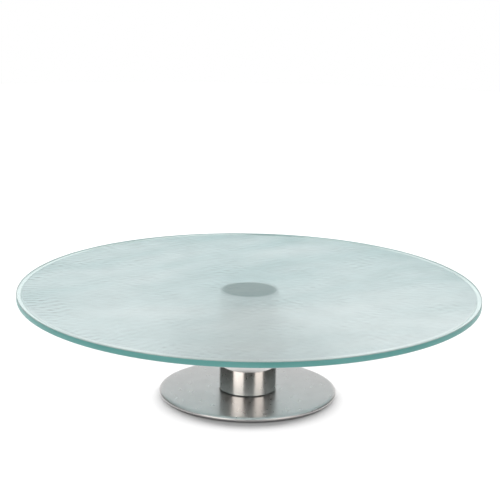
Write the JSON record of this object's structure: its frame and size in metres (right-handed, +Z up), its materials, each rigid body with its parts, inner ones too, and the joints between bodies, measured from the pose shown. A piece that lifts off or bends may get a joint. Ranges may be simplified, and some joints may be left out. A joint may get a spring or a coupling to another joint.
{
  "type": "cake turntable",
  "caption": "Round glass cake turntable: a flat glass plate on a polished column that turns freely on a thin weighted steel base.",
  "frame": {"origin": "centre of the rubber foot's underside, on the axis of rotation, at the height of the surface the turntable stands on", "axes": "+Z up along the axis of rotation; the part is round, so +X and -Y (its front) are free choices"},
  "size_m": [0.3, 0.3, 0.0713],
  "materials": {
    "glass": "float glass, pale green edge, finely rippled top, etched underside, ground arris",
    "bond": "cured adhesive, translucent grey",
    "polished_steel": "mirror-polished stainless steel",
    "satin_steel": "finely satined stainless steel",
    "aluminium": "turned",
    "steel": "turned or zinc-plated, bright",
    "bearing_steel": "ground and polished",
    "black_steel": "black oxide",
    "nylon": "natural nylon",
    "black_plastic": "fine moulded texture",
    "rubber": "matt"
  },
  "bodies": {
    "base": {"base_shell": "satin_steel", "ballast_plate": "steel", "bottom_cover": "black_plastic", "foot_ring": "rubber", "flange_screws": "black_steel", "spindle": "steel", "inner_spacer": "steel", "spindle_washer": "steel", "spindle_nut": "steel", "upper_inner_race": "bearing_steel", "lower_inner_race": "bearing_steel"},
    "turntable": {"glass_plate": "glass", "bond_film": "bond", "mounting_disc": "aluminium", "disc_screws": "black_steel", "hub_sleeve": "polished_steel", "bearing_carrier": "aluminium", "outer_spacer": "steel", "retaining_ring": "black_steel", "upper_outer_race": "bearing_steel", "upper_shields": "steel", "lower_outer_race": "bearing_steel", "lower_shields": "steel"},
    "upper_cage": {"upper_cage": "nylon", "upper_balls": "bearing_steel"},
    "lower_cage": {"lower_cage": "nylon", "lower_balls": "bearing_steel"}
  },
  "joints": [
    {"name": "turntable_spin", "type": "hinge", "parent": "base", "child": "turntable", "pos_m": [0, 0, 0.0363], "axis": [0, 0, 1], "continuous": true},
    {"name": "upper_cage_spin", "type": "hinge", "parent": "base", "child": "upper_cage", "pos_m": [0, 0, 0.0403], "axis": [0, 0, 1], "continuous": true},
    {"name": "lower_cage_spin", "type": "hinge", "parent": "base", "child": "lower_cage", "pos_m": [0, 0, 0.0163], "axis": [0, 0, 1], "continuous": true}
  ],
  "couplings": [
    {"joint": "upper_cage_spin", "follows": "turntable_spin", "ratio": 0.6323},
    {"joint": "lower_cage_spin", "follows": "turntable_spin", "ratio": 0.6323}
  ]
}
